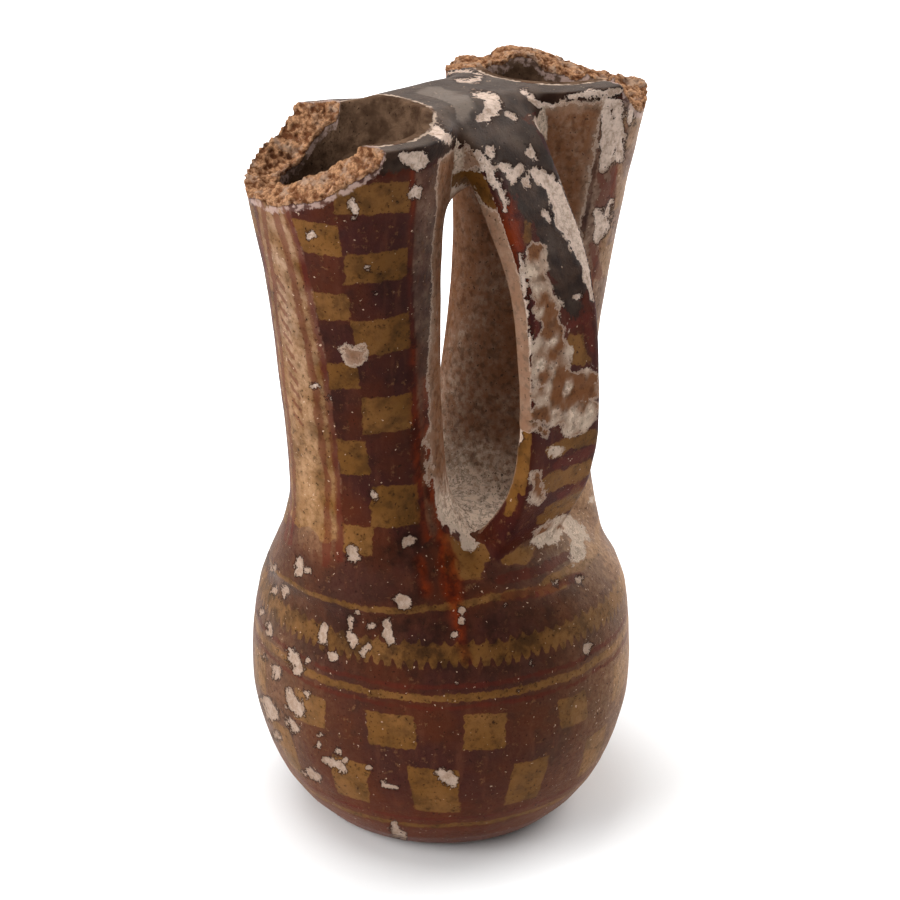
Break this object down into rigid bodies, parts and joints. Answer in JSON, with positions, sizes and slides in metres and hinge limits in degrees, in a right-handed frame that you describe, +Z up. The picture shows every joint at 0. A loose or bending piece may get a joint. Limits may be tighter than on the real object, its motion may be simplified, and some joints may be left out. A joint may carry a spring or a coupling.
{
  "type": "double-spouted juglet",
  "caption": "Small round earthenware jug with two open necks side by side, tied by a web at their broken rims, and a strap handle from the web to the shoulder.",
  "frame": {"origin": "middle of the flat face under the base, on the surface that the juglet stands on", "axes": "+Z up through the round body, the two necks side by side along X, the strap handle on the -Y side"},
  "size_m": [0.1088, 0.09, 0.1745],
  "materials": {
    "base_clay": "worn burnished earthenware",
    "painted_slip": "burnished red and ochre painted slip under an amber coat, chipped to cream clay",
    "black_slip": "charcoal black slip, chipped to cream clay"
  },
  "bodies": {
    "root": {"base_pad": "base_clay", "lower_wall": "painted_slip", "belly_wall": "painted_slip", "shoulder": "painted_slip", "left_neck": "painted_slip", "right_neck": "painted_slip", "rim_web": "black_slip", "strap_handle": "black_slip"}
  },
  "joints": []
}
